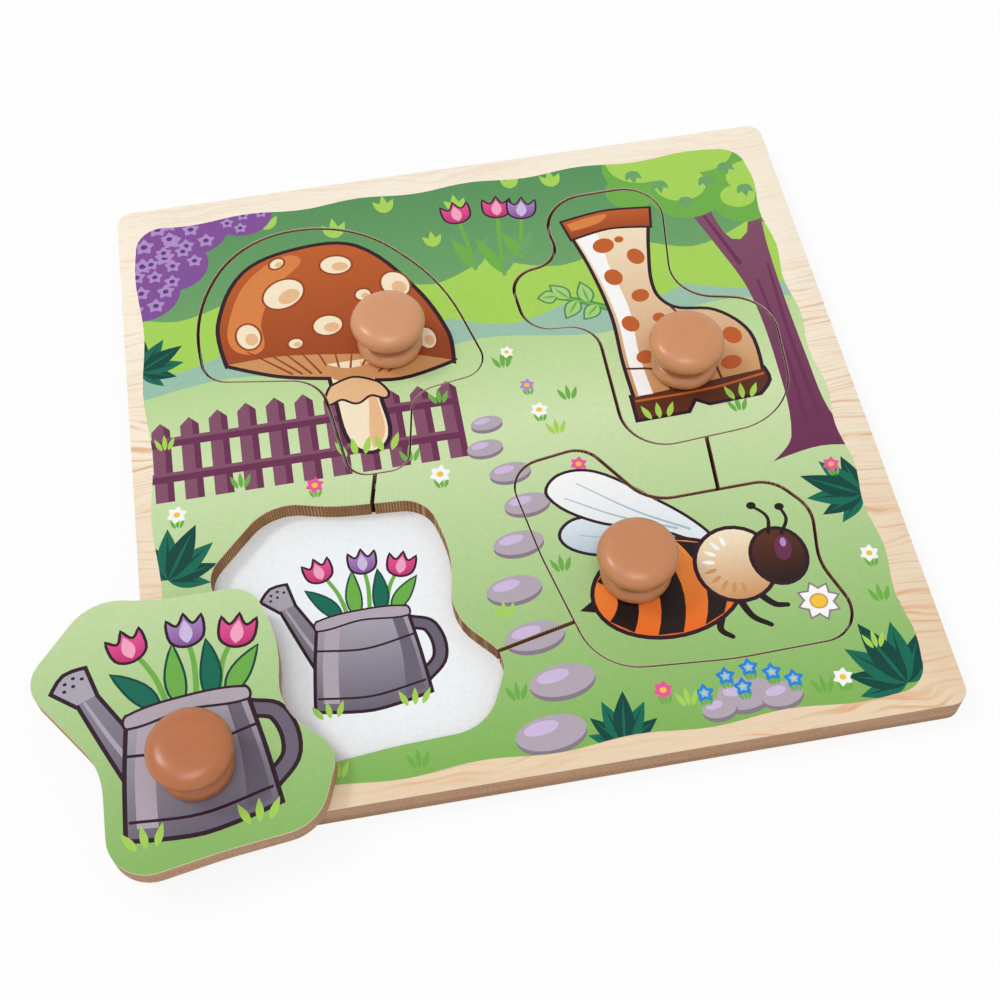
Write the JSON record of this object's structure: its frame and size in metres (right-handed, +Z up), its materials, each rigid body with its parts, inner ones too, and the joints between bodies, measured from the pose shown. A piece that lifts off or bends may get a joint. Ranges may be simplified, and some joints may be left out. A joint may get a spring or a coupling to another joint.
{
  "type": "peg puzzle",
  "caption": "Square wooden peg puzzle: a printed, veneered board sawn into a frame and shaped pieces that lift out by turned knobs, on a backing that floors the recesses.",
  "frame": {"origin": "centre of the board's underside, on which the puzzle rests", "axes": "+Z up out of the printed face, +X to the right and +Y to the back of the picture"},
  "size_m": [0.2553, 0.2367, 0.0322],
  "materials": {
    "fibreboard": "bare sawn fibreboard",
    "backing": "bare fibreboard",
    "veneer": "satin veneer, grain along X",
    "frame_print": "satin printed paper",
    "floor_print": "satin printed paper on white",
    "mushroom_print": "satin printed paper",
    "boot_print": "satin printed paper",
    "bee_print": "satin printed paper",
    "can_print": "satin printed paper",
    "knob": "satin lacquered turned wood",
    "screw": "zinc plated"
  },
  "bodies": {
    "tray": {"frame_board": "fibreboard", "frame_veneer": "veneer", "frame_print": "frame_print", "backing_board": "backing", "floor_sheet": "floor_print"},
    "mushroom_piece": {"mushroom_board": "fibreboard", "mushroom_veneer": "veneer", "mushroom_print": "mushroom_print", "mushroom_knob": "knob", "mushroom_screw": "screw"},
    "boot_piece": {"boot_board": "fibreboard", "boot_veneer": "veneer", "boot_print": "boot_print", "boot_knob": "knob", "boot_screw": "screw"},
    "bee_piece": {"bee_board": "fibreboard", "bee_veneer": "veneer", "bee_print": "bee_print", "bee_knob": "knob", "bee_screw": "screw"},
    "can_piece": {"can_board": "fibreboard", "can_veneer": "veneer", "can_print": "can_print", "can_knob": "knob", "can_screw": "screw"}
  },
  "joints": [
    {"name": "mushroom_lift", "type": "slide", "parent": "tray", "child": "mushroom_piece", "axis": [0, 0, 1], "range_m": [0, 0.06]},
    {"name": "boot_lift", "type": "slide", "parent": "tray", "child": "boot_piece", "axis": [0, 0, 1], "range_m": [0, 0.06]},
    {"name": "bee_lift", "type": "slide", "parent": "tray", "child": "bee_piece", "axis": [0, 0, 1], "range_m": [0, 0.06]},
    {"name": "can_lift", "type": "slide", "parent": "tray", "child": "can_piece", "axis": [0, 0, 1], "range_m": [0, 0.06]}
  ]
}
